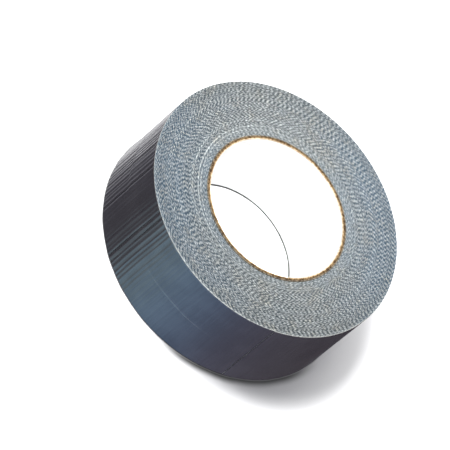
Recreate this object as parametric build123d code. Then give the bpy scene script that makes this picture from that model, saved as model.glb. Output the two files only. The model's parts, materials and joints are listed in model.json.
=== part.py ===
from build123d import *
from math import cos, degrees, pi, radians, sin
import os

# A roll of cloth-backed adhesive tape on a spiral-wound board core.
#
# Millimetres, +Z up.  The roll lies flat: its axis is +Z and the origin is on
# that axis in the plane of the lower end of the core, which stands slightly
# proud of the tape so that the roll rests on it.
#
# The outermost turn of the tape is drawn as the real web: a film outside, a
# cloth scrim under it and an adhesive layer inside.  Its last stretch, the free
# end, is cut into short lengths that hinge on the film so that it can be peeled.

# Driving dimensions
bore_radius = 38.1
ply_walls = {
    "core_inner_liner": 0.4,
    "core_board_ply_inner": 0.6,
    "core_board_ply_outer": 0.6,
    "core_outer_ply": 0.4,
}
tape_width = 50.0
core_proud = 0.3
roll_radius = 70.3
film_thickness = 0.08
scrim_thickness = 0.05
adhesive_thickness = 0.08
tip_angle = -50.4
end_segments = 5
segment_length = 11.0
hinge_gap = 0.1
peel_clearance = 0.04

# Derived sizes
tape_thickness = film_thickness + scrim_thickness + adhesive_thickness
core_length = tape_width + 2 * core_proud
core_radius = bore_radius + sum(ply_walls.values())
segment_angle = degrees(segment_length / roll_radius)
gap_angle = degrees(hinge_gap / roll_radius)
root_angle = tip_angle + end_segments * segment_angle
last_turn_end = tip_angle + 360

# Depth of each layer's outer and inner face under the outside of the web
layer_depths = {
    "film": (0.0, film_thickness),
    "scrim": (film_thickness, film_thickness + scrim_thickness),
    "adhesive": (film_thickness + scrim_thickness, tape_thickness),
}


def ray(angle):
    """Unit vector in the XY plane at an angle in degrees from +X."""
    return Vector(cos(radians(angle)), sin(radians(angle)), 0)


def quarter_centre(quarter):
    """Centre of one quarter arc of the spiral.

    The spiral is four quarter turns.  Each has a radius a quarter of the tape's
    thickness less than the one before, so its centre moves that far towards the
    point where they meet, and the four centres stand on a small square round
    the axis.
    """
    step = tape_thickness / 4
    centre = (ray(tip_angle + 90) + ray(tip_angle + 180)) * (-step / 2)
    for turned in range(quarter):
        centre += ray(tip_angle + 90 * (turned + 1)) * step
    return centre


def spiral_point(depth, quarter, angle):
    """Point of the spiral at a depth under its outside, on one quarter arc."""
    radius = roll_radius - depth - quarter * tape_thickness / 4
    return quarter_centre(quarter) + ray(angle) * radius


def spiral_arcs(depth, start, end):
    """Arcs of the spiral at a depth under its outside, from start to end degrees."""
    arcs = []
    for quarter in range(4):
        first = max(start, tip_angle + 90 * quarter)
        last = min(end, tip_angle + 90 * (quarter + 1))
        if last - first > 1e-6:
            angles = (first, (first + last) / 2, last)
            points = [spiral_point(depth, quarter, angle) for angle in angles]
            arcs.append(Edge.make_three_point_arc(*points))
    return arcs


def web_strip(outer_depth, inner_depth, start, end):
    """Length of one layer of the web, as wide as the tape."""
    outer = spiral_arcs(outer_depth, start, end)
    inner = spiral_arcs(inner_depth, start, end)
    ends = [
        Edge.make_line(outer[0].position_at(0), inner[0].position_at(0)),
        Edge.make_line(outer[-1].position_at(1), inner[-1].position_at(1)),
    ]
    outline = Wire(outer + inner + ends)
    section = Face(outline).moved(Location((0, 0, core_proud)))
    return extrude(section, amount=tape_width, dir=(0, 0, 1))


def core_ply(inner_radius, wall):
    """One wound ply of the core, the full length of the core."""
    section = Circle(inner_radius + wall) - Circle(inner_radius)
    return extrude(section, amount=core_length)


def wound_tape():
    """Every turn under the last one, from the core to the spiral step."""
    arcs = spiral_arcs(tape_thickness, tip_angle, last_turn_end)
    step = Edge.make_line(arcs[-1].position_at(1), arcs[0].position_at(0))
    outside = Face(Wire(arcs + [step])).moved(Location((0, 0, core_proud)))
    turns = extrude(outside, amount=tape_width, dir=(0, 0, 1))
    hole = extrude(Circle(core_radius), amount=core_length)
    return turns - hole


def outer_turn_layer(layer):
    """One layer of the last turn, from the root of the free end round to the step."""
    return web_strip(*layer_depths[layer], root_angle, last_turn_end)


def tape_end_layer(layer, number):
    """One layer of one length of the free end; length 1 is at the root.

    The adhesive stops short of the turn below, which leaves the free end room
    to swing.
    """
    outer_depth, inner_depth = layer_depths[layer]
    if layer == "adhesive":
        inner_depth -= peel_clearance
    hinge_angle = root_angle - (number - 1) * segment_angle
    return web_strip(
        outer_depth,
        inner_depth,
        hinge_angle - segment_angle,
        hinge_angle - gap_angle,
    )


def hinge_point(number):
    """Where a length of the free end hinges: on the film's outside, at mid width."""
    hinge_angle = root_angle - (number - 1) * segment_angle
    mid_width = Vector(0, 0, core_length / 2)
    return spiral_point(0.0, 0, hinge_angle) + mid_width


def all_nodes():
    """Every sub-part by name."""
    nodes = {}
    radius = bore_radius
    for name, wall in ply_walls.items():
        nodes[name] = core_ply(radius, wall)
        radius += wall
    nodes["wound_tape"] = wound_tape()
    for layer in layer_depths:
        nodes["outer_turn_" + layer] = outer_turn_layer(layer)
    for number in range(1, end_segments + 1):
        for layer in layer_depths:
            nodes[f"tape_end_{number}_{layer}"] = tape_end_layer(layer, number)
    return nodes


os.makedirs("parts", exist_ok=True)
for node, shape in all_nodes().items():
    export_step(shape, f"parts/{node}.step")

for number in range(1, end_segments + 1):
    x, y, z = hinge_point(number)
    print(f"hinge {number} at {x:.4f}, {y:.4f}, {z:.4f} mm")

web_area = pi * (roll_radius**2 - core_radius**2)
print(f"tape length about {web_area / tape_thickness / 1000:.1f} m")
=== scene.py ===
import json
import logging
from dataclasses import dataclass, field
from enum import Enum
from math import atan2, cos, hypot, pi, radians, sin, tau
from typing import Any, Callable, Sequence

import bpy
import numpy as np
from mathutils import Matrix, Vector


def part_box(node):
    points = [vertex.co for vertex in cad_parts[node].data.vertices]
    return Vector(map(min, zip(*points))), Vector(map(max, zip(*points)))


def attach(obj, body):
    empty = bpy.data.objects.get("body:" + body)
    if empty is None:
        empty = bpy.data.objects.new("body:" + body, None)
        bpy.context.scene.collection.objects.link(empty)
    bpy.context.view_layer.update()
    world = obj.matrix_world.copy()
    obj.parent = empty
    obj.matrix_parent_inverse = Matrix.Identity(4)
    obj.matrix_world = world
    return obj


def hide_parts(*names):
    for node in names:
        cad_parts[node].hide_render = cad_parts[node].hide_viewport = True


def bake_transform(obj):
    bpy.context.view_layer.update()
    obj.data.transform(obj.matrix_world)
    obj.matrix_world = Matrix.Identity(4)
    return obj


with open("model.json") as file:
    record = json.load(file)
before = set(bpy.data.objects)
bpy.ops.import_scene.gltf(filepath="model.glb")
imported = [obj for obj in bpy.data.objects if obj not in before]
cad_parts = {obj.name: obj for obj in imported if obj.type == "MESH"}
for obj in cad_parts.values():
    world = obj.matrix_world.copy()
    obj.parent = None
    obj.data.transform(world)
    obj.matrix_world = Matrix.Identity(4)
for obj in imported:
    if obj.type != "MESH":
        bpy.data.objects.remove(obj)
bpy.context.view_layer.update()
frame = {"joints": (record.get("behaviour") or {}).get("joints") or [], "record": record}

MM = 0.001
DEGREE = pi / 180.0
log = logging.getLogger("tape_roll")

Array = np.ndarray
Piece = bpy.types.Object
Colour = tuple[float, float, float]
Bells = tuple[tuple[float, float, float], ...]
Relief = Callable[[Array, Array], Array]


# ---- meshes


class Mesher:
    """Turns numpy arrays into closed Blender meshes."""

    @staticmethod
    def build(name: str, points: Array, quads: Array,
              caps: Sequence[Array] = (),
              layers: dict[str, Array] | None = None,
              sharp: float = 40.0) -> Piece:
        """Make a mesh object from points and faces.

        Args:
            name: name of the piece and of its mesh.
            points: positions in metres, one row each.
            quads: point numbers of each four-sided face, anticlockwise from outside.
            caps: point numbers of each larger face, anticlockwise from outside.
            layers: a number for each point, by attribute name.
            sharp: faces that meet at more than this many degrees keep a sharp edge.

        Returns:
            The new object, linked to the scene.
        """
        corners = np.concatenate([quads.ravel(), *caps]).astype(np.int32)
        sizes = np.array([4] * len(quads) + [len(cap) for cap in caps], np.int32)
        mesh = bpy.data.meshes.new(name)
        mesh.vertices.add(len(points))
        mesh.vertices.foreach_set("co", np.ascontiguousarray(points, np.float32).ravel())
        mesh.loops.add(len(corners))
        mesh.loops.foreach_set("vertex_index", corners)
        mesh.polygons.add(len(sizes))
        mesh.polygons.foreach_set("loop_start", (np.cumsum(sizes) - sizes).astype(np.int32))
        mesh.polygons.foreach_set("use_smooth", np.ones(len(sizes), bool))
        mesh.update(calc_edges=True)
        for layer, values in (layers or {}).items():
            attribute = mesh.attributes.new(layer, "FLOAT", "POINT")
            attribute.data.foreach_set("value", np.ascontiguousarray(values, np.float32).ravel())
        mesh.set_sharp_from_angle(angle=radians(sharp))
        piece = bpy.data.objects.new(name, mesh)
        bpy.context.scene.collection.objects.link(piece)
        return piece

    @staticmethod
    def ring_quads(columns: int, rows: int) -> Array:
        """Faces of a section of rows points carried right round the axis.

        Point (i, j) is number i * rows + j.  Columns run anticlockwise round +Z.
        The section runs up its outside, inwards, down its inside and outwards.

        Args:
            columns: how many places round the axis.
            rows: how many points the section has.

        Returns:
            Point numbers, four to a face.
        """
        i, j = np.meshgrid(np.arange(columns), np.arange(rows), indexing="ij")
        after_i, after_j = (i + 1) % columns, (j + 1) % rows
        quads = np.stack([i * rows + j, after_i * rows + j, after_i * rows + after_j,
                          i * rows + after_j], -1)
        return quads.reshape(-1, 4)

    @staticmethod
    def strip_faces(columns: int, rows: int) -> tuple[Array, list[Array]]:
        """Faces of the same section carried part of the way, and its two end caps.

        Args:
            columns: how many places along the strip.
            rows: how many points the section has.

        Returns:
            The four-sided faces, and the two caps' point numbers.
        """
        quads = Mesher.ring_quads(columns, rows)[:(columns - 1) * rows]
        section = np.arange(rows)
        return quads, [section, section[::-1] + (columns - 1) * rows]


def smoothstep(low: float, high: float, x: Array) -> Array:
    """0 below low, 1 above high, and the cubic 3t^2 - 2t^3 in between."""
    t = np.clip((x - low) / (high - low), 0.0, 1.0)
    return t * t * (3.0 - 2.0 * t)


def bump(x: Array, centre: float, width: float) -> Array:
    """A bell curve: 1 at centre, and exp(-1) at one width away from it."""
    return np.exp(-((x - centre) / width) ** 2)


def bumps(x: Array, bells: Bells, unit: float) -> Array:
    """A sum of bell curves, each given by its size, its centre and its width in units."""
    return sum(size * bump(x, centre * unit, width * unit) for size, centre, width in bells)


class Wander:
    """A smooth random curve: a sum of sines whose sizes, waves and phases are drawn once."""

    def __init__(self, seed: int, waves: int, slow: float, fast: float) -> None:
        """Draw the sines.

        Args:
            seed: start of the random draws.
            waves: how many sines.
            slow: fewest cycles per unit.
            fast: most cycles per unit.
        """
        draw = np.random.default_rng(seed)
        self.cycles = np.geomspace(slow, fast, waves) * draw.uniform(0.85, 1.15, waves)
        self.phase = draw.uniform(0.0, tau, waves)
        self.size = draw.uniform(0.5, 1.0, waves)
        self.size /= np.sqrt(0.5 * np.sum(self.size ** 2))

    def _sum(self, waves: Array, x: Array) -> Array:
        """Sum of the sines with these numbers of radians per unit of x."""
        return sum(a * np.sin(w * x + p) for a, w, p in zip(self.size, waves, self.phase))

    def __call__(self, x: Array) -> Array:
        """Value of the curve at x, about -2 to 2, with a spread of 1."""
        return self._sum(tau * self.cycles, x)

    def around(self, angle: Array) -> Array:
        """The same curve with whole numbers of waves to a turn, so that it closes."""
        return self._sum(np.round(self.cycles), angle)


# ---- shader maths


class Value:
    """A shader socket that can be used in Python sums; each operator adds a Math node."""

    def __init__(self, graph: "Graph", socket: bpy.types.NodeSocket) -> None:
        """Wrap a socket of a graph."""
        self.graph = graph
        self.socket = socket

    def function(self, operation: str, *terms: Any) -> "Value":
        """Result of a Math node whose first term is self."""
        return self.graph.node("ShaderNodeMath", {"operation": operation}, [self, *terms])

    def __add__(self, other: Any) -> "Value":
        """self + other."""
        return self.function("ADD", other)

    __radd__ = __add__

    def __sub__(self, other: Any) -> "Value":
        """self - other."""
        return self.function("SUBTRACT", other)

    def __rsub__(self, other: Any) -> "Value":
        """other - self."""
        return self.graph.node("ShaderNodeMath", {"operation": "SUBTRACT"}, [other, self])

    def __mul__(self, other: Any) -> "Value":
        """self * other."""
        return self.function("MULTIPLY", other)

    __rmul__ = __mul__

    def __truediv__(self, other: Any) -> "Value":
        """self / other."""
        return self.function("DIVIDE", other)

    def between(self, low: float, high: float) -> "Value":
        """0 at low and 1 at high, with a smooth step in between."""
        return self.graph.node("ShaderNodeMapRange", {"interpolation_type": "SMOOTHSTEP"},
                               {"Value": self, "From Min": low, "From Max": high})


class Graph:
    """The nodes of one material or of the world."""

    def __init__(self, tree: bpy.types.NodeTree) -> None:
        """Start with an empty tree."""
        self.tree = tree
        tree.nodes.clear()

    def node(self, kind: str, settings: dict[str, Any], inputs: Any = (),
             output: str | int = 0) -> Value | None:
        """Add a node.

        Args:
            kind: the node's type.
            settings: properties of the node, set before its sockets; "stops" are a ramp's.
            inputs: values or links, as a list by place or a dict by socket name.
            output: which output to return.

        Returns:
            The chosen output; a node that ends a graph has none.
        """
        made = self.tree.nodes.new(kind)
        for key, setting in settings.items():
            if key == "stops":
                self._set_stops(made.color_ramp, setting)
            else:
                setattr(made, key, setting)
        pairs = inputs.items() if isinstance(inputs, dict) else enumerate(inputs)
        for key, given in pairs:
            if isinstance(given, Value):
                self.tree.links.new(given.socket, made.inputs[key])
            elif isinstance(given, tuple) and made.inputs[key].type == "RGBA":
                made.inputs[key].default_value = (*given, 1.0)
            else:
                made.inputs[key].default_value = given
        return Value(self, made.outputs[output]) if len(made.outputs) else None

    @staticmethod
    def _set_stops(ramp: bpy.types.ColorRamp, stops: Sequence[tuple[float, Colour]]) -> None:
        """Give a ramp these places and colours.

        Args:
            ramp: the ramp of a new node.
            stops: places from 0 to 1, each with its colour.
        """
        while len(ramp.elements) < len(stops):
            ramp.elements.new(0.5)
        for element, (place, colour) in zip(ramp.elements, stops):
            element.position = place
            element.color = (*colour, 1.0)

    def attribute(self, name: str) -> Value:
        """A number that the mesh carries at each point."""
        return self.node("ShaderNodeAttribute", {"attribute_name": name}, [], "Fac")

    def place(self) -> Value:
        """Position in the roll's own frame, in metres."""
        return self.node("ShaderNodeTexCoord", {}, [], "Object")

    def scaled(self, vector: Value, scale: tuple[float, float, float]) -> Value:
        """A position with each axis multiplied by its own number."""
        return self.node("ShaderNodeVectorMath", {"operation": "MULTIPLY"}, [vector, scale])

    def axes(self, vector: Value) -> list[Value]:
        """The three parts of a vector."""
        split = self.node("ShaderNodeSeparateXYZ", {}, [vector]).socket.node
        return [Value(self, output) for output in split.outputs]

    def noise(self, vector: Value, scale: float, detail: float = 2.0,
              roughness: float = 0.5) -> Value:
        """Soft random pattern around 0.5; scale is in cycles per unit of the vector.

        Args:
            vector: where the pattern is looked up.
            scale: cycles per unit of the vector.
            detail: how many finer layers lie on the first.
            roughness: how strong each finer layer is.

        Returns:
            The pattern.
        """
        return self.node("ShaderNodeTexNoise", {"noise_dimensions": "3D"},
                         {"Vector": vector, "Scale": scale, "Detail": detail,
                          "Roughness": roughness}, "Fac")

    def mix(self, share: Any, first: Any, second: Any) -> Value:
        """Colour between first at 0 and second at 1."""
        return self.node("ShaderNodeMix", {"data_type": "RGBA"}, {0: share, 6: first, 7: second}, 2)

    def tinted(self, colour: Value, amount: Any) -> Value:
        """A colour with every part multiplied by a number."""
        return self.node("ShaderNodeVectorMath", {"operation": "SCALE"},
                         {"Vector": colour, "Scale": amount})

    def relief(self, height: Value, distance: float, strength: float = 1.0) -> Value:
        """A normal that makes height, from 0 to 1, look this far raised, in metres."""
        return self.node("ShaderNodeBump", {},
                         {"Strength": strength, "Distance": distance, "Height": height})

    def finish(self, sockets: dict[str, Any]) -> None:
        """End the graph in a Principled surface with these sockets."""
        shader = self.node("ShaderNodeBsdfPrincipled", {}, sockets)
        self.node("ShaderNodeOutputMaterial", {}, {"Surface": shader})


def new_material(name: str) -> tuple[bpy.types.Material, Graph]:
    """An empty material and its graph.

    Args:
        name: the material's name.

    Returns:
        The material, and the graph that its finish fills.
    """
    material = bpy.data.materials.new(name)
    material.use_nodes = True
    return material, Graph(material.node_tree)


# ---- finishes


@dataclass(frozen=True)
class TapeEdgeFinish:
    """The cut edge of the web on the roll's side: dark film and adhesive, pale yarn ends."""

    gap: Colour = (0.068, 0.084, 0.092)
    # The second gap colour is a painted blue reflection.
    gap_painted_reflection: Colour = (0.040, 0.088, 0.140)
    yarn: Colour = (0.665, 0.700, 0.700)
    yarn_warm: Colour = (0.69, 0.68, 0.62)
    roughness: float = 0.62

    def material(self) -> bpy.types.Material:
        """Yarn ends, lightness with painted light and shade, and painted blue reflection come from
        the mesh; noise breaks them up.

        Returns:
            The material.
        """
        made, g = new_material("tape_edge")
        place = g.place()
        yarn = g.attribute("yarn")
        tone_and_painted_light = g.attribute("tone_and_painted_light")
        fluff = g.noise(place, 1500.0, 3.0, 0.65)
        speck = g.noise(place, 700.0, 2.0, 0.6)
        # Painted blue reflection at two places round the roll, broken up by noise.
        painted_blue_reflection = (g.attribute("painted_blue_reflection") + g.noise(place, 40.0, 2.0) * 0.5).between(0.2, 0.95)
        warm = g.noise(place, 150.0, 2.0, 0.7).between(0.47, 0.70)
        share = (yarn * (0.45 + 1.0 * fluff + 0.6 * speck)).between(0.06, 0.80)
        gap = g.mix(painted_blue_reflection, self.gap, self.gap_painted_reflection)
        thread = g.mix(warm, self.yarn, self.yarn_warm)
        # The edge's own lightness, with painted light and shade round the roll, scales the colour.
        colour = g.tinted(g.mix(share, gap, thread), tone_and_painted_light * (0.40 + 0.66 * fluff + 0.54 * speck))
        g.finish({"Base Color": colour, "Roughness": self.roughness,
                  "Normal": g.relief(fluff, 0.05 * MM, 0.6)})
        return made


@dataclass(frozen=True)
class FilmFinish:
    """The tape's outside: silver-grey plastic film drawn tight over the cloth."""

    base: Colour = (0.415, 0.405, 0.43)
    dull: Colour = (0.335, 0.325, 0.35)
    # paler film of the crease, also used for the painted highlight on the upper rim
    crease_white_and_rim_highlight: Colour = (0.62, 0.64, 0.65)
    metallic: float = 0.80
    roughness: float = 0.24
    rib_gain: float = 2.5
    warp_pitch: float = 1.27 * MM

    def material(self) -> bpy.types.Material:
        """Ribs from the mesh, and fine pebble, warp lines and streaks from noise.

        The height that gives the normal is in millimetres: the ribs' own depth drawn
        deeper, the pebble of the pressed film, and the warp yarns as faint sine waves.

        Returns:
            The material.
        """
        made, g = new_material("tape_film")
        place = g.place()
        height = g.axes(place)[2]
        pebble = g.noise(place, 1700.0, 3.0, 0.6)
        streaks = g.noise(g.scaled(place, (900.0, 900.0, 55.0)), 1.0, 3.0, 0.6)
        cloud = g.noise(place, 45.0, 2.0)
        warp = (height * (tau / self.warp_pitch)).function("SINE")
        depth = g.attribute("depth")
        wear = (streaks * 0.35 + cloud * 0.65).between(0.38, 0.66)
        raised = 0.014 * pebble + 0.0010 * warp + 0.007 * streaks - self.rib_gain * depth
        crease = g.attribute("crease")
        # Paler film on the crease, and a painted highlight along the upper rim on one side.
        colour = g.mix(crease * 0.6, g.mix(wear, self.dull, self.base), self.crease_white_and_rim_highlight)
        g.finish({"Base Color": colour, "Metallic": self.metallic - 0.22 * crease,
                  "Roughness": self.roughness - 0.05 + 0.10 * pebble,
                  "Normal": g.relief(raised, MM)})
        return made


@dataclass(frozen=True)
class AdhesiveFinish:
    """The tape's underside: pale tacky adhesive with the cloth showing through."""

    base: Colour = (0.56, 0.575, 0.565)
    yarn: Colour = (0.74, 0.74, 0.71)

    def material(self) -> bpy.types.Material:
        """Yarns lighten it and raise it; the adhesive between them is glossier.

        Returns:
            The material.
        """
        made, g = new_material("tape_adhesive")
        yarn = g.attribute("yarn")
        mottle = g.noise(g.place(), 900.0, 3.0, 0.6)
        colour = g.mix((yarn * (0.6 + 0.6 * mottle)).between(0.1, 0.95), self.base, self.yarn)
        g.finish({"Base Color": colour, "Roughness": 0.30 + 0.35 * yarn,
                  "Normal": g.relief(mottle, 0.04 * MM, 0.5)})
        return made


@dataclass(frozen=True)
class ScrimFinish:
    """Cotton yarn of the cloth, seen at its cut ends."""

    base: Colour = (0.78, 0.775, 0.73)
    shadow: Colour = (0.42, 0.42, 0.40)

    def material(self) -> bpy.types.Material:
        """Fibres as fine stretched noise.

        Returns:
            The material.
        """
        made, g = new_material("tape_scrim")
        fibre = g.noise(g.scaled(g.place(), (1.0, 1.0, 0.25)), 6000.0, 3.0, 0.7)
        g.finish({"Base Color": g.mix(fibre.between(0.3, 0.6), self.shadow, self.base),
                  "Roughness": 0.9, "Normal": g.relief(fibre, 0.03 * MM, 0.7)})
        return made


@dataclass(frozen=True)
class PaperFinish:
    """A ply of the core: liner paper, board or kraft, with fibres and a darker seam."""

    name: str
    base: Colour
    fibre: Colour
    end: Colour
    glue: Colour
    grain: float = 900.0
    roughness: float = 0.8

    def material(self) -> bpy.types.Material:
        """Fibres lie round the core; the cut ends and the butt seam come from the mesh.

        Returns:
            The material.
        """
        made, g = new_material(self.name)
        place = g.place()
        cut = g.attribute("cut")
        seam = g.attribute("seam")
        fibres = g.noise(g.scaled(place, (0.35, 0.35, 1.0)), self.grain, 4.0, 0.65)
        cloud = g.noise(place, 70.0, 2.0)
        fleck = g.noise(place, 780.0, 2.0, 0.7)
        share = (fibres * 0.65 + cloud * 0.35).between(0.36, 0.66)
        skin = g.mix(share, self.fibre, self.base)
        end = g.mix((fleck * 0.8 + cloud * 0.2).between(0.44, 0.56), self.glue, self.end)
        colour = g.mix(seam, g.mix(cut, skin, end), self.glue)
        g.finish({"Base Color": colour, "Roughness": self.roughness,
                  "Normal": g.relief(fibres * 0.6 + fleck * 0.4, 0.04 * MM, 0.6)})
        return made


@dataclass(frozen=True)
class FloorFinish:
    """Pale smooth floor that gives its own light, with painted light and shade: a painted pool of
    light in the bore, painted shade near and under the roll, and a painted contact shadow beside
    it.
    """

    bore_radius: float
    roll_radius: float
    base: Colour = (0.42, 0.42, 0.425)
    # Painted: near is shade close to the roll, under is shade under the roll and just inside the
    # bore, within is a pool of light in the bore.
    near: Colour = (0.10, 0.095, 0.10)
    far: Colour = (0.72, 0.72, 0.725)
    under: Colour = (0.02, 0.02, 0.02)
    within: Colour = (0.97, 0.97, 0.97)
    near_reach: float = 110.0 * MM
    far_reach: float = 260.0 * MM
    ragged: float = 1.0 * MM
    shaded: float = -42.0 * DEGREE

    def material(self) -> bpy.types.Material:
        """Even colour with painted light and shade: full light in the bore as a painted pool of
        light, less near the roll as painted shade, none under the roll or in a thin ring just
        inside the bore, and, on one side close beside it, a painted contact shadow.

        Each ring is a smooth step on the distance from the roll's axis, and the shaded
        side is one on the cosine of the angle from its middle.

        Returns:
            The material.
        """
        made, g = new_material("floor")
        x, y, _ = g.axes(g.place())
        patchy = g.noise(g.place(), 60.0, 2.0)
        radius = (x * x + y * y).function("SQRT") + (patchy - 0.5) * self.ragged
        # Painted pool of light in the bore; its dark edge about 1 mm inside the bore is a painted
        # shadow line.
        inside = 1.0 - radius.between(self.bore_radius - 1.05 * MM, self.bore_radius - 0.75 * MM)
        outside = radius.between(self.roll_radius - 0.3 * MM, self.roll_radius + 0.7 * MM)
        # Painted shade: less light near the roll, full light far away.
        around = g.mix(radius.between(self.near_reach, self.far_reach), self.near, self.far)
        painted_glow = g.mix(outside, g.mix(inside, self.under, self.within), around)
        # Painted shade: the floor's colour is dark under the roll and just inside the bore.
        base = g.mix(outside, g.mix(inside, self.under, self.base), self.base)
        # Painted contact shadow close beside the roll on the shaded side.
        facing = (x * cos(self.shaded) + y * sin(self.shaded)) / radius
        close = 1.0 - radius.between(self.roll_radius + 0.2 * MM, self.roll_radius + 5.0 * MM)
        painted_contact_shadow = close * outside * facing.between(0.72, 0.93)
        g.finish({"Base Color": g.mix(painted_contact_shadow, base, self.under), "Roughness": 0.6,
                  "Emission Color": g.mix(painted_contact_shadow, painted_glow, self.under), "Emission Strength": 1.0})
        return made


# ---- the web


@dataclass(frozen=True)
class Web:
    """The tape: one laminate of film, scrim and adhesive, wound into a spiral.

    A place on it is its turned angle, in radians back from the tip along the web,
    its depth under the outside of the film and its height up the roll.
    """

    core_radius: float
    roll_radius: float
    tip: float
    bottom: float
    top: float
    film: float = 0.08 * MM
    scrim: float = 0.05 * MM
    adhesive: float = 0.08 * MM
    weft_pitch: float = 2.54 * MM
    weft_width: float = 0.25
    warp_pitch: float = 1.27 * MM
    unevenness: Wander = field(default_factory=lambda: Wander(11, 7, 0.10, 0.6))
    stretch: float = 0.8 * MM
    yarns: int = 20000
    rib_depth: float = 0.050 * MM
    crease_depth: float = 0.020 * MM
    crease_width: float = 0.38 * MM
    crease_offset: float = -0.9 * MM
    sag_depth: float = 0.006 * MM
    sag_wave: float = 31.0 * MM
    skew: float = 0.25 * MM
    skew_wave: float = 64.0 * MM
    # bells on the azimuth in degrees
    creased: Bells = ((1.0, 273.0, 14.0),)
    # where the upper rim gets a painted highlight
    rim_highlit: Bells = ((1.0, 270.0, 27.0),)
    slipped: Bells = ((1.0, 202.0, 17.0),)
    ribbed: Bells = ((-0.56, 292.0, 38.0), (0.50, 206.0, 26.0), (0.45, 243.0, 13.0))

    @classmethod
    def of_frame(cls) -> "Web":
        """Take the radii, the width and the tip from the fixed frame.

        Returns:
            The web, with its layers and yarns left as they are by default.
        """
        hinges = [joint["pos_m"] for joint in frame["joints"]]
        angles = [atan2(y, x) for x, y, _ in hinges]
        low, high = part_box("wound_tape")
        return cls(core_radius=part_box("core_outer_ply")[1].x,
                   roll_radius=hypot(*hinges[0][:2]),
                   tip=2.0 * angles[-1] - angles[-2], bottom=low.z, top=high.z)

    @property
    def thickness(self) -> float:
        """Thickness of the laminate."""
        return self.film + self.scrim + self.adhesive

    @property
    def last_turned(self) -> float:
        """Turned angle at which the web's inside reaches the core."""
        return tau * ((self.roll_radius - self.core_radius) / self.thickness - 1.0)

    @property
    def middle(self) -> float:
        """Height of the web's mid width."""
        return (self.bottom + self.top) / 2.0

    def azimuth(self, turned: Array) -> Array:
        """Azimuth on the roll of a turned angle, from 0 to a whole turn."""
        return np.mod(self.tip + turned, tau)

    def outside(self, turned: Array) -> Array:
        """Radius of the film's outside: it falls by one thickness in each turn."""
        return self.roll_radius - self.thickness * turned / tau

    def run(self, turned: Array) -> Array:
        """Length of web from the tip: the integral of its radius over the turned angle."""
        middle = self.roll_radius - self.thickness / 2.0
        return middle * turned - self.thickness * turned ** 2 / (2.0 * tau)

    def azimuth_at(self, run: Array) -> Array:
        """Azimuth on the roll of a length of web from the tip: run solved for its angle.

        Args:
            run: lengths of web from the tip, in metres.

        Returns:
            Azimuths in radians; they go on growing from turn to turn.
        """
        middle = self.roll_radius - self.thickness / 2.0
        root = np.sqrt(np.clip(middle ** 2 - self.thickness * run / pi, 0.0, None))
        return self.tip + (middle - root) * tau / self.thickness

    def point(self, turned: Array, depth: Array, height: Array) -> Array:
        """Position of a place on the web, in metres.

        Args:
            turned: turned angles.
            depth: depths under the film's outside.
            height: heights up the roll.

        Returns:
            Positions, three numbers to a place.
        """
        radius = self.outside(turned) - depth
        angle = self.tip + turned
        return np.stack(np.broadcast_arrays(radius * np.cos(angle), radius * np.sin(angle),
                                            height), -1)

    def weft(self, run: Array) -> Array:
        """How much of a weft yarn lies at a run: 1 on a yarn, falling to 0 between two.

        Each yarn is a bell curve a pitch from the next.  The pitch drifts as the cloth
        was stretched, and each yarn is shifted, thinned or fattened a little of its own.
        The yarns are shifted least on one side of the roll, where they line up.

        Args:
            run: lengths of web from the tip, in metres.

        Returns:
            A number from 0 to 1 for each length.
        """
        draw = np.random.default_rng(5)
        shift = draw.normal(0.0, 0.090, self.yarns)
        weight = draw.uniform(0.52, 1.0, self.yarns)
        width = draw.uniform(0.80, 1.25, self.yarns) * self.weft_width
        place = (run + self.stretch * self.unevenness(run)) / self.weft_pitch
        number = np.clip(np.round(place).astype(int), 0, self.yarns - 1)
        loose = 0.98 - 0.3 * np.cos(self.azimuth_at(run) - 30.0 * DEGREE)
        away = place - number - loose * shift[number]
        return weight[number] * np.exp(-(away / width[number]) ** 2)

    def warp(self, height: Array) -> Array:
        """How much of a warp yarn lies at a height: a raised cosine to the fourth power."""
        return (0.5 + 0.5 * np.cos(tau * (height - self.bottom) / self.warp_pitch)) ** 4

    def crease(self, turned: Array, height: Array) -> Array:
        """Where the film was creased lengthwise: a thin line a little under mid width.

        Args:
            turned: turned angles.
            height: heights up the roll.

        Returns:
            A number from 0 to 1 for each place.
        """
        azimuth = self.azimuth(turned)
        line = self.middle + self.crease_offset + 0.35 * MM * np.sin(7.0 * azimuth)
        along = bumps(azimuth, self.creased, DEGREE) * (0.8 + 0.2 * np.sin(61.0 * azimuth))
        return bump(height, line, self.crease_width) * along

    def painted_rim_highlight(self, turned: Array) -> Array:
        """Painted highlight on the web's upper edge: a broken pale line along one side."""
        broken = np.clip(0.62 + 0.38 * Wander(23, 7, 3.0, 40.0)(turned), 0.0, 1.0)
        return broken * bumps(self.azimuth(turned), self.rim_highlit, DEGREE)

    def film_relief(self, turned: Array, height: Array) -> Array:
        """Depth of the film's outside under its highest points.

        It is the sum of three terms: one that falls to 0 over each weft yarn, times a
        strength that changes round the roll; a slow sag; and one that falls to 0 on the
        crease.  On one side of the roll the upper half of the width is half a pitch out
        of step with the lower.

        Args:
            turned: turned angles.
            height: heights up the roll.

        Returns:
            Depths in metres.
        """
        azimuth = self.azimuth(turned)
        upper = smoothstep(self.middle - 0.8 * MM, self.middle + 0.8 * MM, height)
        slipped = bumps(azimuth, self.slipped, DEGREE)
        skew = self.skew * np.sin(tau * (height - self.bottom) / self.skew_wave)
        run = self.run(turned) + skew + self.weft_pitch / 2.0 * upper * slipped
        strength = 0.62 + bumps(azimuth, self.ribbed, DEGREE)
        strength = strength * (1.0 + 0.18 * Wander(41, 6, 130.0, 300.0)(self.run(turned)))
        sag = 0.5 + 0.25 * np.sin(3.0 * azimuth) * np.cos(tau * height / self.sag_wave)
        return (self.rib_depth * (1.0 - self.weft(run)) * strength + self.sag_depth * sag
                + self.crease_depth * (1.0 - self.crease(turned, height)))

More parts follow.
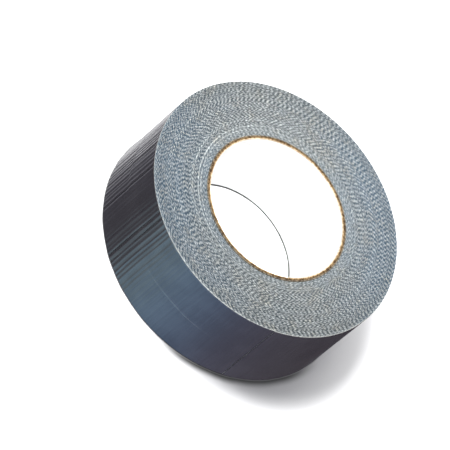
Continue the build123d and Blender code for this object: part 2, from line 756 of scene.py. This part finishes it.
    def strip(self, name: str, turned: Array, outer: float, inner: float,
              outer_heights: Array, inner_heights: Array,
              outer_relief: Relief | None = None, inner_relief: Relief | None = None,
              ragged: float = 0.0) -> Piece:
        """Make one layer of a length of web as a closed strip.

        The section goes up the outer face and down the inner face at the given heights,
        and is carried along the turned angles.

        Args:
            name: name of the piece.
            turned: turned angles of the stations, rising.
            outer: depth of the layer's outer face.
            inner: depth of the layer's inner face.
            outer_heights: heights of the outer face's points, rising.
            inner_heights: heights of the inner face's points, falling.
            outer_relief: depth to add to the outer face, by turned angle and height.
            inner_relief: depth to take from the inner face, by turned angle and height.
            ragged: how far the cut at the first station wanders, in radians.

        Returns:
            The piece.  It carries the yarns as the attribute "yarn", the depth of the outer relief
            in millimetres as "depth", and as "crease" the paler film of the lengthwise crease
            together with a painted highlight along the upper rim.
        """
        heights = np.concatenate([outer_heights, inner_heights])[None, :]
        fade = 1.0 - smoothstep(turned[0], turned[0] + 4.0 * ragged + 1e-9, turned)
        cut = Wander(31, 6, 40.0, 700.0)(heights) * 0.5 + 0.5
        angles = turned[:, None] + ragged * fade[:, None] * cut
        angles, heights = np.broadcast_arrays(angles, heights)
        on_outside = np.arange(heights.shape[1]) < len(outer_heights)
        depth = np.where(on_outside, outer, inner) + np.zeros_like(angles)
        sunk = np.zeros_like(depth)
        if outer_relief:
            sunk[:, on_outside] = outer_relief(angles, heights)[:, on_outside]
            depth += sunk
        if inner_relief:
            depth[:, ~on_outside] -= inner_relief(angles, heights)[:, ~on_outside]
        yarn = np.maximum(self.weft(self.run(angles)), 0.7 * self.warp(heights))
        top = smoothstep(self.top - 1.0 * MM, self.top - 0.1 * MM, heights)
        # Paler film along the crease, plus a painted highlight on the upper rim along one side.
        crease_and_rim_highlight = self.crease(angles, heights) + 1.5 * top * self.painted_rim_highlight(angles)
        points = self.point(angles, depth, heights).reshape(-1, 3)
        quads, caps = Mesher.strip_faces(*angles.shape)
        return Mesher.build(name, points, quads, caps,
                            {"yarn": yarn.ravel(), "depth": (sunk / MM).ravel(),
                             "crease": crease_and_rim_highlight.ravel()})


# ---- the wound tape


@dataclass(frozen=True)
class WoundTurns:
    """Every turn under the last one, cut into bands that follow one another inwards.

    A band is one helical sheet seen at its two cut edges.  Each turn of it has a row of
    points on its film and a row in its cloth, where the yarn ends are.
    """

    web: Web
    start: float
    bands: int = 7
    spacing: float = 0.44 * MM
    film_row: float = 0.055 * MM
    cloth_row: float = 0.165 * MM
    sink: float = 0.08 * MM
    nub: float = 0.09 * MM
    telescoping: Wander = field(default_factory=lambda: Wander(3, 9, 0.02, 0.42))
    ring_tone: Wander = field(default_factory=lambda: Wander(8, 10, 0.03, 0.47))
    limit: float = 0.27 * MM
    drift: float = 0.05 * MM
    grain: float = 0.012 * MM
    # bells on the radius in millimetres
    proud: Bells = ((0.10, 48.6, 0.30), (0.10, 45.3, 0.30), (-0.08, 47.2, 0.50),
                    (-0.08, 40.6, 0.50))
    shades: Bells = ((-0.08, 47.2, 0.9), (0.08, 50.0, 1.2), (-0.10, 54.0, 1.6),
                     (-0.12, 62.0, 1.8), (-0.15, 66.3, 2.2), (-0.06, 69.4, 0.9))
    # bright: radii of the turns that get painted highlights
    bright: Bells = ((1.0, 48.6, 0.20), (1.0, 45.3, 0.24), (0.7, 43.7, 0.18),
                     (0.5, 53.6, 0.20), (0.5, 61.2, 0.20))

    def smooth(self, turned: Array) -> Array:
        """1 on the smooth pale turns beside the core and 0 outside them."""
        return smoothstep(46.6 * MM, 45.4 * MM, self.web.outside(turned))

    def shift(self, turned: Array) -> Array:
        """How far a turn stands out of line with the others, up the roll.

        The winding drifted a little, and near the core a few turns stand proud and a few
        lie low.
        """
        proud = MM * bumps(self.web.outside(turned), self.proud, MM)
        return self.drift * self.telescoping(turned / tau) + proud

    def tone_and_painted_light(self, turned: Array) -> Array:
        """How light a turn's edge is: it changes from turn to turn on its own, and painted light
        and shade change it a little round the roll.

        The turns beside the core are pale, some turns get painted highlights, and the change round
        a turn is two cosines of painted light and shade, lighter towards the key, with part of the
        edge's own lightness in it.

        Args:
            turned: turned angles.

        Returns:
            A factor near 1 for each angle.
        """
        rings = (0.08 * self.ring_tone(turned / tau) + 0.22 * self.smooth(turned)
                 + 0.16 * self.lines(turned) + bumps(self.web.outside(turned), self.shades, MM))
        angle = self.web.azimuth(turned)
        # Painted light and shade round the roll, lighter on the key's side, with part of the edge's
        # own lightness.
        once = 0.07 * np.cos(angle - 118.0 * DEGREE)
        twice = 0.055 * np.cos(2.0 * angle - 256.0 * DEGREE)
        return 1.0 + rings + once + twice

    def lines(self, turned: Array) -> Array:
        """Painted highlights on some turns, mostly on one side of the roll.

        Args:
            turned: turned angles.

        Returns:
            A number from 0 to about 1 for each angle.
        """
        turns = bumps(self.web.outside(turned), self.bright, MM)
        broken = 0.75 + 0.25 * Wander(17, 5, 1.0, 9.0)(turned)
        lit = 0.22 + 0.78 * bump(self.web.azimuth(turned), 205.0 * DEGREE, 62.0 * DEGREE)
        return turns * broken * lit

    def painted_blue_reflection(self, turned: Array) -> Array:
        """Painted blue reflection on the film's edge: most at two places across from each other,
        outside.

        Args:
            turned: turned angles.

        Returns:
            A number from 0 to 1 for each angle.
        """
        outside = smoothstep(48.0 * MM, 62.0 * MM, self.web.outside(turned))
        places = 0.5 + 0.5 * np.cos(2.0 * (self.web.azimuth(turned) - 48.0 * DEGREE))
        return (0.35 + 0.4 * outside) * places

    def row(self, turned: Array, depth: float, cloth: float,
            upwards: bool) -> tuple[Array, ...]:
        """One row of points along a cut edge.

        Args:
            turned: turned angles of the points.
            depth: depth of the row under the outside of its turn.
            cloth: 1 for a row in the cloth, 0 for a row on the film.
            upwards: whether it is the upper edge.

        Returns:
            Positions, how much pale yarn shows with painted highlights added, lightness with
            painted light and shade, and painted blue reflection.
        """
        yarn = self.web.weft(self.web.run(turned))
        grain = np.random.default_rng(len(turned)).normal(0.0, self.grain, len(turned))
        out = cloth * (self.nub * yarn - self.sink) + grain
        sign = 1.0 if upwards else -1.0
        half = self.web.top - self.web.middle
        offset = np.clip(out + sign * self.shift(turned), -self.limit, self.limit)
        points = self.web.point(turned, depth, self.web.middle + sign * (half + offset))
        smooth = self.smooth(turned)
        yarn_and_painted_highlight = yarn * (0.22 + 0.78 * cloth) * (1.0 - 0.52 * smooth) + 0.11 * smooth
        # Painted highlights: the lit turns, and the outer turns' rim on one side, show as more pale
        # yarn.
        rim = smoothstep(69.3 * MM, 69.9 * MM, self.web.outside(turned))
        yarn_and_painted_highlight = yarn_and_painted_highlight + 0.32 * self.lines(turned) + 0.5 * rim * self.web.painted_rim_highlight(turned)
        return points, yarn_and_painted_highlight, self.tone_and_painted_light(turned), self.painted_blue_reflection(turned)

    def edge(self, turned: Array, columns: int, upwards: bool) -> list[Array]:
        """All rows of one cut edge of a band: film, cloth, outer rim and inner rim.

        Args:
            turned: turned angles of the band's stations.
            columns: how many stations a turn has.
            upwards: whether it is the upper edge.

        Returns:
            Positions, how much pale yarn shows with painted highlights added, lightness with
            painted light and shade, and painted blue reflection, row after row.
        """
        rows = [self.row(turned, self.film_row, 0.0, upwards),
                self.row(turned, self.cloth_row, 1.0, upwards),
                self.row(turned[:columns + 1], 0.0, 0.0, upwards),
                self.row(turned[-columns - 1:] + tau, 0.0, 0.0, upwards)]
        return [np.concatenate(parts) for parts in zip(*rows)]

    @staticmethod
    def faces(steps: int, columns: int) -> Array:
        """Faces of a band: its upper edge, its lower edge, and the walls between them.

        Film point j and cloth point j share a station, and film point j + columns is one
        turn further in, so the faces between them close the helical sheet sideways.

        Args:
            steps: how many stations the band has, less one.
            columns: how many of them a turn has.

        Returns:
            Point numbers, four to a face.
        """
        film = np.arange(steps + 1)
        cloth = film + steps + 1
        outer = np.arange(columns + 1) + 2 * (steps + 1)
        inner = outer + columns + 1
        last = steps - columns

        def between(low: Array, high: Array) -> Array:
            """Faces between an inner row and the row outside it."""
            return np.stack([low[:-1], high[:-1], high[1:], low[1:]], -1)

        upper = np.concatenate([between(cloth, film), between(film[columns:], cloth[:last + 1]),
                                between(film[:columns + 1], outer), between(inner, cloth[last:])])
        total = 2 * (steps + 1) + 2 * (columns + 1)
        rims = [np.concatenate([outer, [film[columns], cloth[0], film[0]]]),
                np.concatenate([inner[::-1], [cloth[last], film[steps], cloth[steps]]])]
        walls = [np.stack([rim + total, np.roll(rim, -1) + total, np.roll(rim, -1), rim], -1)
                 for rim in rims]
        return np.concatenate([upper, upper[:, ::-1] + total, *walls])

    def build(self) -> list[Piece]:
        """Make the bands, from the outside inwards.

        Returns:
            The bands.
        """
        share = (self.web.last_turned - self.start) / self.bands
        pieces = []
        first = self.start
        for number in range(self.bands):
            columns = int(round(tau * self.web.outside(first) / self.spacing))
            steps = int(round(share / tau * columns))
            turned = first + np.arange(steps + 1) * (tau / columns)
            edges = [self.edge(turned, columns, upwards) for upwards in (True, False)]
            points, yarn, tone_and_painted_light, painted_blue_reflection = [np.concatenate(parts) for parts in zip(*edges)]
            piece = Mesher.build(f"wound_turns_{number + 1}", points,
                                 self.faces(steps, columns), (),
                                 {"yarn": yarn, "tone_and_painted_light": tone_and_painted_light, "painted_blue_reflection": painted_blue_reflection}, 60.0)
            pieces.append(piece)
            first = turned[-1]
        return pieces

    def dress(self, finish: TapeEdgeFinish) -> list[Piece]:
        """Make the bands in their finish, fixed to the roll in the CAD tape's place.

        Args:
            finish: the finish of the cut edges.

        Returns:
            The bands.
        """
        pieces = self.build()
        material = finish.material()
        for piece in pieces:
            piece.data.materials.append(material)
            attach(piece, "roll")
            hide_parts("wound_tape")
        return pieces


# ---- the last turn and its free end


class Layer(Enum):
    """The web's three layers, from the outside inwards."""

    FILM = "film"
    SCRIM = "scrim"
    ADHESIVE = "adhesive"


@dataclass(frozen=True)
class LastTurn:
    """The outermost turn, layer by layer, and the free end that peels away from it."""

    web: Web
    hinges: tuple[float, ...]
    step: float = 0.42 * MM
    rows: int = 82
    clearance: float = 0.04 * MM
    ragged: float = 0.25 * MM
    relief: float = 0.022 * MM

    @property
    def half(self) -> float:
        """Half of the turned angle between two hinges."""
        return (self.hinges[0] - self.hinges[1]) / 2.0

    @property
    def root(self) -> float:
        """Turned angle at which the web stops bending and stays on the roll."""
        return self.hinges[0] + self.half

    def depths(self, layer: Layer, free: bool) -> tuple[float, float]:
        """Depths of a layer's two faces; the free end's adhesive stops a little short.

        Args:
            layer: which layer.
            free: whether it belongs to the free end.

        Returns:
            Depths of its outer and its inner face.
        """
        web = self.web
        faces = {Layer.FILM: (0.0, web.film),
                 Layer.SCRIM: (web.film, web.film + web.scrim),
                 Layer.ADHESIVE: (web.film + web.scrim, web.thickness)}
        outer, inner = faces[layer]
        return outer, inner - (self.clearance if free and layer is Layer.ADHESIVE else 0.0)

    def under(self, turned: Array, height: Array) -> Array:
        """Depth taken from the adhesive between the yarns that press through it."""
        yarn = np.maximum(self.web.weft(self.web.run(turned)), self.web.warp(height))
        return self.relief * (1.0 - yarn)

    def piece(self, name: str, layer: Layer, first: float, last: float,
              free: bool, ragged: float = 0.0) -> Piece:
        """Make one layer of a length of web.

        Args:
            name: name of the piece.
            layer: which layer.
            first: turned angle where it starts.
            last: turned angle where it ends.
            free: whether it belongs to the free end.
            ragged: how far the cut at the start wanders, in metres.

        Returns:
            The piece.
        """
        count = int(round((last - first) * self.web.roll_radius / self.step))
        turned = np.linspace(first, last, count + 1)
        fine = np.linspace(self.web.bottom, self.web.top, self.rows)
        coarse = fine[[0, -1]]
        outer_side = fine if layer is Layer.FILM else coarse
        inner_side = fine if free and layer is Layer.ADHESIVE else coarse
        outer, inner = self.depths(layer, free)
        return self.web.strip(
            name, turned, outer, inner, outer_side, inner_side[::-1],
            self.web.film_relief if layer is Layer.FILM else None,
            self.under if free and layer is Layer.ADHESIVE else None,
            ragged / self.web.roll_radius)

    def mark(self, turned: float) -> tuple[float, float, float]:
        """Place on the outside of the web, at mid width, at a turned angle."""
        place = self.web.point(np.array([turned]), np.zeros(1), np.array([self.web.middle]))[0]
        return tuple(float(part) for part in place)

    def dress_layer(self, layer: Layer, material: bpy.types.Material) -> list[Piece]:
        """Make one layer of the whole last turn, in lengths; the length on the roll rides with the
        roll and the tip rides with the last tape end.

        Args:
            layer: which layer.
            material: its material.

        Returns:
            The length that stays on the roll, then the free end's from the root to the tip.
        """
        name = layer.value
        count = len(self.hinges)
        fixed = self.piece(f"last_turn_{name}", layer, self.root, self.root + tau, False)
        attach(fixed, "roll")
        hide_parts(f"outer_turn_{name}")
        pieces = [fixed]
        for number, hinge in enumerate(self.hinges, 1):
            length = self.piece(f"free_end_{number}_{name}", layer, hinge - self.half,
                                hinge + self.half, True)
            before = "roll" if number == 1 else f"tape_end_{number - 1}"
            self.mark(hinge + self.half)
            self.mark(hinge - self.half)
            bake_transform(length)
            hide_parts(f"tape_end_{number}_{name}")
            pieces.append(length)
        tip = self.piece(f"free_end_tip_{name}", layer, 0.0, self.half, True, self.ragged)
        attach(tip, f"tape_end_{count}")
        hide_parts(f"tape_end_{count}_{name}")
        pieces.append(tip)
        for piece in pieces:
            piece.data.materials.append(material)
        return pieces

    def dress(self, film: FilmFinish, scrim: ScrimFinish,
              adhesive: AdhesiveFinish) -> list[Piece]:
        """Make all three layers in their finishes.

        Args:
            film: finish of the film.
            scrim: finish of the scrim.
            adhesive: finish of the adhesive.

        Returns:
            The pieces, layer by layer.
        """
        finishes = {Layer.FILM: film, Layer.SCRIM: scrim, Layer.ADHESIVE: adhesive}
        return [piece for layer in Layer
                for piece in self.dress_layer(layer, finishes[layer].material())]


# ---- the core


def bore_radius() -> float:
    """Radius of the core's bore, from the fixed frame."""
    bore = next(mount for mount in frame["record"]["mounts"] if mount["kind"] == "bore")
    return bore["dims"]["r_mm"] * MM


@dataclass(frozen=True)
class CorePly:
    """One ply of the core: a paper strip wound into a tube, edge to edge, on a slant."""

    node: str
    within: str
    finish: PaperFinish
    slot: str
    seam_angle: float
    seed: int
    lead: float = 138.6 * MM
    columns: int = 240
    heights: int = 44
    seam_width: float = 0.35 * MM
    seam_depth: float = 0.13 * MM
    crown: float = 0.09 * MM
    roughness: float = 0.07 * MM
    ripple: float = 0.018 * MM
    swell: float = 0.03 * MM

    def stations(self, radius: float) -> Array:
        """Angles from the seam round to it again, closer together beside it.

        Args:
            radius: outer radius of the ply.

        Returns:
            Rising angles in radians.
        """
        groove = self.seam_width / radius
        close = groove * np.array([-1.5, -1.0, -0.5, -0.2, 0.2, 0.5, 1.0, 1.5])
        rest = np.linspace(2.5 * groove, tau - 2.5 * groove, self.columns)
        return np.concatenate([close, rest])

    def build(self) -> Piece:
        """Make the ply.

        The section runs up the outside, over a crowned rough end, down the inside and
        under the other end.  Each station is a helix: its angle grows with height by one
        turn in each lead.  The seam is a groove along the first helix, inside and on the
        ends.

        Returns:
            The ply.
        """
        low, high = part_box(self.node)
        outer, inner = high.x, self.inner_radius()
        angle = self.stations(outer)[:, None]
        up = np.linspace(low.z, high.z, self.heights)[1:-1]
        down = up[::-1]
        across = np.array([0.97, 0.78, 0.5, 0.22, 0.03])
        share = np.concatenate([np.ones(len(up)), across, np.zeros(len(down)), across[::-1]])
        end = np.concatenate([np.zeros(len(up)), np.ones(5), np.zeros(len(down)), -np.ones(5)])
        height = np.concatenate([up, np.full(5, high.z), down, np.full(5, low.z)])
        wander = Wander(self.seed, 14, 6.0, 110.0).around(angle)
        rough = self.roughness * (0.5 + 0.25 * np.clip(wander, -2.0, 2.0))
        drop = (self.crown * (2.0 * share - 1.0) ** 2 + rough) * np.abs(end)
        height = height - drop * np.sign(end)
        away = (np.mod(angle + pi, tau) - pi) * outer
        groove = bump(away, 0.0, self.seam_width * 0.45)
        ripple = self.ripple * Wander(self.seed + 50, 7, 2.0, 14.0).around(angle)
        skin = (share < 0.5).astype(float)
        radius = inner + share * (outer - inner) + skin * (self.seam_depth * groove)
        radius = radius + skin * (1.0 - np.abs(end)) * np.clip(ripple + self.swell, 0.0, None)
        height = height - np.sign(end) * groove * self.seam_depth
        turn = self.seam_angle + angle + tau * height / self.lead
        points = np.stack([radius * np.cos(turn), radius * np.sin(turn), height], -1)
        cut = np.broadcast_to(np.where((end < 0.0) & (share < 0.4), 0.0, np.abs(end)),
                              height.shape)
        seam = np.broadcast_to(groove * 0.75, height.shape)
        return Mesher.build(self.node + "_wound", points.reshape(-1, 3),
                            Mesher.ring_quads(*height.shape), (),
                            {"cut": cut.ravel(), "seam": seam.ravel()}, 50.0)

    def inner_radius(self) -> float:
        """Radius inside the ply: the bore's, or the outside of the ply within it."""
        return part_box(self.within)[1].x if self.within else bore_radius()

    def dress(self) -> Piece:
        """Make the ply in its finish, fixed to the roll in the CAD ply's place.

        Returns:
            The ply.
        """
        piece = self.build()
        piece.data.materials.append(self.finish.material())
        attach(piece, "roll")
        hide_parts(self.node)
        return piece


@dataclass(frozen=True)
class Core:
    """The tube that the tape is wound on: a white liner, two plies of board and a kraft ply."""

    liner: PaperFinish = PaperFinish("core_liner_paper", (0.88, 0.88, 0.87), (0.82, 0.815, 0.80),
                                     (0.55, 0.45, 0.31), (0.30, 0.20, 0.10), 700.0, 0.75)
    inner_board: PaperFinish = PaperFinish("core_board_pale", (0.62, 0.47, 0.27),
                                           (0.55, 0.41, 0.23), (0.42, 0.275, 0.125),
                                           (0.10, 0.045, 0.012), 1100.0, 0.9)
    outer_board: PaperFinish = PaperFinish("core_board_tan", (0.40, 0.27, 0.13),
                                           (0.36, 0.24, 0.12), (0.25, 0.165, 0.085),
                                           (0.06, 0.033, 0.013), 1100.0, 0.9)
    kraft: PaperFinish = PaperFinish("core_kraft", (0.30, 0.20, 0.10), (0.26, 0.17, 0.08),
                                     (0.37, 0.32, 0.24), (0.12, 0.09, 0.06), 900.0, 0.85)

    def dress(self) -> list[Piece]:
        """Make the four plies, with their seams a third of a turn or so apart.

        Returns:
            The plies, from the bore outwards.
        """
        plies = (("core_inner_liner", self.liner, "core_liner", 35.0),
                 ("core_board_ply_inner", self.inner_board, "core_board", 150.0),
                 ("core_board_ply_outer", self.outer_board, "core_board", 262.0),
                 ("core_outer_ply", self.kraft, "core_kraft", 10.0))
        pieces = []
        within = ""
        for seed, (node, finish, slot, seam) in enumerate(plies, 1):
            pieces.append(CorePly(node, within, finish, slot, seam * DEGREE, seed).dress())
            within = node
        return pieces


# ---- the studio


@dataclass(frozen=True)
class SoftBox:
    """A square area light that points at the roll and may light one object only."""

    name: str
    azimuth: float
    elevation: float
    distance: float
    size: float
    power: float
    colour: Colour = (1.0, 1.0, 1.0)
    only: str = ""

    def build(self, target: Vector) -> Piece:
        """Place the light by azimuth and elevation in degrees, round the target.

        Args:
            target: the place that the light points at.

        Returns:
            The light.
        """
        data = bpy.data.lights.new(self.name, "AREA")
        data.shape = "SQUARE"
        data.size = self.size
        data.energy = self.power
        data.color = self.colour
        turn, rise = radians(self.azimuth), radians(self.elevation)
        away = Vector((cos(turn) * cos(rise), sin(turn) * cos(rise), sin(rise)))
        light = bpy.data.objects.new(self.name, data)
        light.location = target + away * self.distance
        light.rotation_euler = (-away).to_track_quat("-Z", "Y").to_euler()
        bpy.context.scene.collection.objects.link(light)
        if self.only:
            lit = bpy.data.collections.new(self.name + "_lights")
            lit.objects.link(bpy.data.objects[self.only])
            light.light_linking.receiver_collection = lit
        return light


@dataclass(frozen=True)
class Studio:
    """Pale floor, soft boxes, surrounding light and the camera."""

    floor_finish: FloorFinish
    floor_half: float = 6.0
    sky: Colour = (0.56, 0.58, 0.60)
    horizon: Colour = (0.34, 0.36, 0.38)
    strip_light: Colour = (0.95, 0.97, 1.0)
    strips: int = 3
    strip_edges: tuple[float, float] = (0.35, 0.85)
    patches_end: tuple[float, float] = (-0.60, -0.30)
    sky_starts: tuple[float, float] = (0.05, 0.35)
    lens: float = 400.0
    sensor: float = 36.0
    elevation: float = 47.67
    roll: float = 49.75
    right_of_axis: float = 25.6 * MM
    above_axis: float = 8.35 * MM
    distance: float = 2461.5 * MM
    # light from steeply below by azimuth in degrees: a bright patch behind on the left,
    # dark, then a blue patch in front that fades to a dark violet
    patches: tuple[tuple[float, Colour], ...] = (
        (0.0, (0.075, 0.062, 0.090)), (34.0, (0.040, 0.028, 0.040)),
        (78.0, (0.05, 0.04, 0.05)), (96.0, (1.3, 1.3, 1.3)), (108.0, (1.3, 1.3, 1.3)),
        (122.0, (0.82, 0.82, 0.83)), (136.0, (0.38, 0.38, 0.41)), (154.0, (0.06, 0.055, 0.07)),
        (180.0, (0.022, 0.010, 0.020)), (208.0, (0.050, 0.042, 0.048)),
        (226.0, (0.185, 0.255, 0.27)), (238.0, (0.235, 0.38, 0.445)), (268.0, (0.18, 0.31, 0.45)),
        (298.0, (0.11, 0.18, 0.30)), (330.0, (0.085, 0.085, 0.145)),
        (360.0, (0.075, 0.062, 0.090)))

    def floor(self) -> Piece:
        """A flat floor that the camera sees and that takes the roll's shadow.

        Returns:
            The floor.
        """
        square = np.array([(-1.0, -1.0, 0.0), (1.0, -1.0, 0.0), (1.0, 1.0, 0.0), (-1.0, 1.0, 0.0)])
        floor = Mesher.build("floor", self.floor_half * square, np.array([[0, 1, 2, 3]]))
        floor.data.materials.append(self.floor_finish.material())
        floor.visible_diffuse = False
        floor.visible_glossy = False
        floor.visible_shadow = False
        return floor

    def world(self) -> None:
        """Light from all round.

        Above is an even sky.  Steeply below are the patches, and near the horizon three
        upright strips of light on grey.
        """
        world = bpy.data.worlds.new("studio")
        world.use_nodes = True
        bpy.context.scene.world = world
        g = Graph(world.node_tree)
        x, y, z = g.axes(g.node("ShaderNodeTexCoord", {}, [], "Generated"))
        turn = y.function("ARCTAN2", x) * (1.0 / DEGREE)
        turn = turn + 360.0 * turn.function("LESS_THAN", 0.0)
        stops = [(azimuth / 360.0, colour) for azimuth, colour in self.patches]
        low = g.node("ShaderNodeValToRGB", {"stops": stops}, {"Fac": turn / 360.0})
        strips = (turn * (self.strips * DEGREE)).function("COSINE").between(*self.strip_edges)
        level = g.mix(strips, self.horizon, self.strip_light)
        below = g.mix(z.between(*self.patches_end), low, level)
        light = g.node("ShaderNodeBackground", {},
                       {"Color": g.mix(z.between(*self.sky_starts), below, self.sky),
                        "Strength": 1.0})
        g.node("ShaderNodeOutputWorld", {}, {"Surface": light})

    def lights(self, target: Vector) -> list[Piece]:
        """A broad key high up behind, one for the floor alone and two for the liner alone.

        Args:
            target: the place that the lights point at.

        Returns:
            The lights.
        """
        liner = "core_inner_liner_wound"
        boxes = [
            SoftBox("key", 118.0, 70.0, 1.5, 0.7, 20.0, (1.0, 0.99, 0.975)),
            SoftBox("floor_key", 188.0, 63.0, 1.5, 0.65, 120.0, only="floor"),
            SoftBox("bore_lamp_left", 232.0, 50.0, 1.2, 0.35, 15.0, only=liner),
            SoftBox("bore_lamp_right", 302.0, 50.0, 1.2, 0.35, 15.0, only=liner),
        ]
        return [box.build(target) for box in boxes]

    def camera(self, face: Vector) -> Piece:
        """A long lens that looks down at the roll, turned about its own axis.

        Args:
            face: middle of the roll's upper side.

        Returns:
            The camera.
        """
        data = bpy.data.cameras.new("camera")
        data.lens = self.lens
        data.sensor_width = self.sensor
        data.clip_start = 0.05
        data.clip_end = 60.0
        rise, turn = radians(self.elevation), radians(self.roll)
        forward = Vector((0.0, cos(rise), -sin(rise)))
        level, upright = Vector((1.0, 0.0, 0.0)), Vector((0.0, sin(rise), cos(rise)))
        right = cos(turn) * level + sin(turn) * upright
        up = cos(turn) * upright - sin(turn) * level
        camera = bpy.data.objects.new("camera", data)
        place = face - self.right_of_axis * right - self.above_axis * up
        place = place - self.distance * forward
        turned = Matrix((right, up, -forward)).transposed().to_4x4()
        camera.matrix_world = Matrix.Translation(place) @ turned
        bpy.context.scene.collection.objects.link(camera)
        bpy.context.scene.camera = camera
        return camera

    def build(self, face: Vector) -> None:
        """Make the whole studio.

        Args:
            face: middle of the roll's upper side.
        """
        self.floor()
        self.world()
        self.lights(Vector((0.0, 0.0, face.z / 2.0)))
        self.camera(face)
        bpy.context.scene.view_settings.view_transform = "Standard"


def report(pieces: Sequence[Piece]) -> None:
    """Log each piece with its number of faces.

    Args:
        pieces: the pieces to report.
    """
    for piece in pieces:
        log.info("%s: %d faces", piece.name, len(piece.data.polygons))


def main() -> None:
    """Build the roll from the inside out, then the studio round it."""
    logging.basicConfig(level=logging.INFO, format="%(name)s %(message)s")
    web = Web.of_frame()
    hinges = [joint["pos_m"] for joint in frame["joints"]]
    turned = tuple(atan2(y, x) - web.tip for x, y, _ in hinges)
    last_turn = LastTurn(web, turned)
    report(Core().dress())
    report(WoundTurns(web, last_turn.root + tau).dress(TapeEdgeFinish()))
    report(last_turn.dress(FilmFinish(), ScrimFinish(), AdhesiveFinish()))
    Studio(FloorFinish(bore_radius(), web.roll_radius)).build(Vector((0.0, 0.0, web.top)))


if __name__ == "__main__":
    main()
